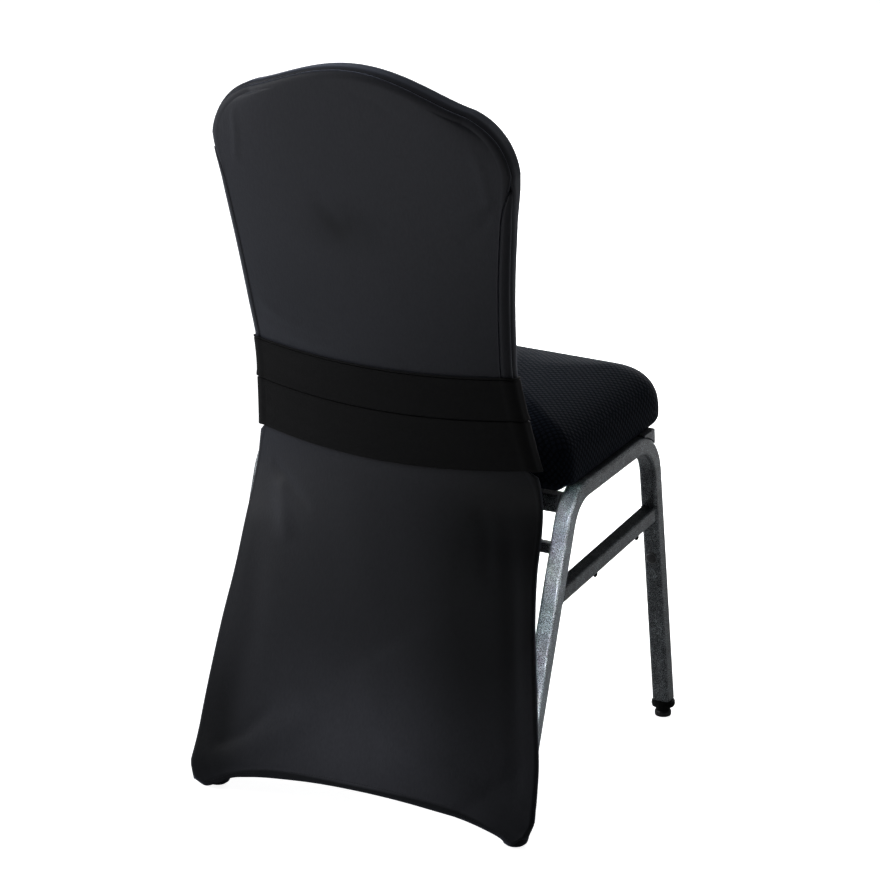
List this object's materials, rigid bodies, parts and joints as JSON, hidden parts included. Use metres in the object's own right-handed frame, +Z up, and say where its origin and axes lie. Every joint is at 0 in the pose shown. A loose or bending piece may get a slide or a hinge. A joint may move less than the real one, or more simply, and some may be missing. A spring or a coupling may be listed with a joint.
{
  "type": "chair cover with sash on a banquet chair",
  "caption": "Stretch-knit cover with a pleated waist sash over the back of a steel-framed banquet chair, hanging to the floor behind as a curtain held by foot pockets.",
  "frame": {"origin": "on the floor, under the centre of the overall box", "axes": "+Z up; -Y the way the sitter faces, towards the seat's front edge; +X to the sitter's left"},
  "size_m": [0.4576, 0.5308, 0.9506],
  "materials": {
    "cover_knit": "smooth stretch knit with a faint satin sheen",
    "sash_knit": "matt stretch knit, pleated",
    "backrest_lining": "plain upholstery lining",
    "seat_fabric": "woven upholstery with a small raised pattern",
    "seat_board": "painted board",
    "frame_paint": "hammered-look powder paint",
    "foot_rubber": "matt",
    "glide_plastic": "satin",
    "plug_plastic": "satin"
  },
  "bodies": {
    "root": {"back_panel": "cover_knit", "backrest_core": "backrest_lining", "cross_bar_low": "frame_paint", "cross_tube_front": "frame_paint", "cross_tube_rear": "frame_paint", "foot_cap_front_left": "foot_rubber", "foot_cap_front_right": "foot_rubber", "foot_cap_rear_left": "foot_rubber", "foot_cap_rear_right": "foot_rubber", "foot_pocket_left": "cover_knit", "foot_pocket_right": "cover_knit", "front_panel": "cover_knit", "glide_front_left": "glide_plastic", "glide_front_right": "glide_plastic", "glide_rear_left": "glide_plastic", "glide_rear_right": "glide_plastic", "gusset_left": "cover_knit", "gusset_right": "cover_knit", "plug_left": "plug_plastic", "plug_right": "plug_plastic", "post_left": "frame_paint", "post_right": "frame_paint", "sash": "sash_knit", "seat_board": "seat_board", "seat_cushion": "seat_fabric", "side_frame_left": "frame_paint", "side_frame_right": "frame_paint", "stretcher_left": "frame_paint", "stretcher_right": "frame_paint"}
  },
  "joints": []
}
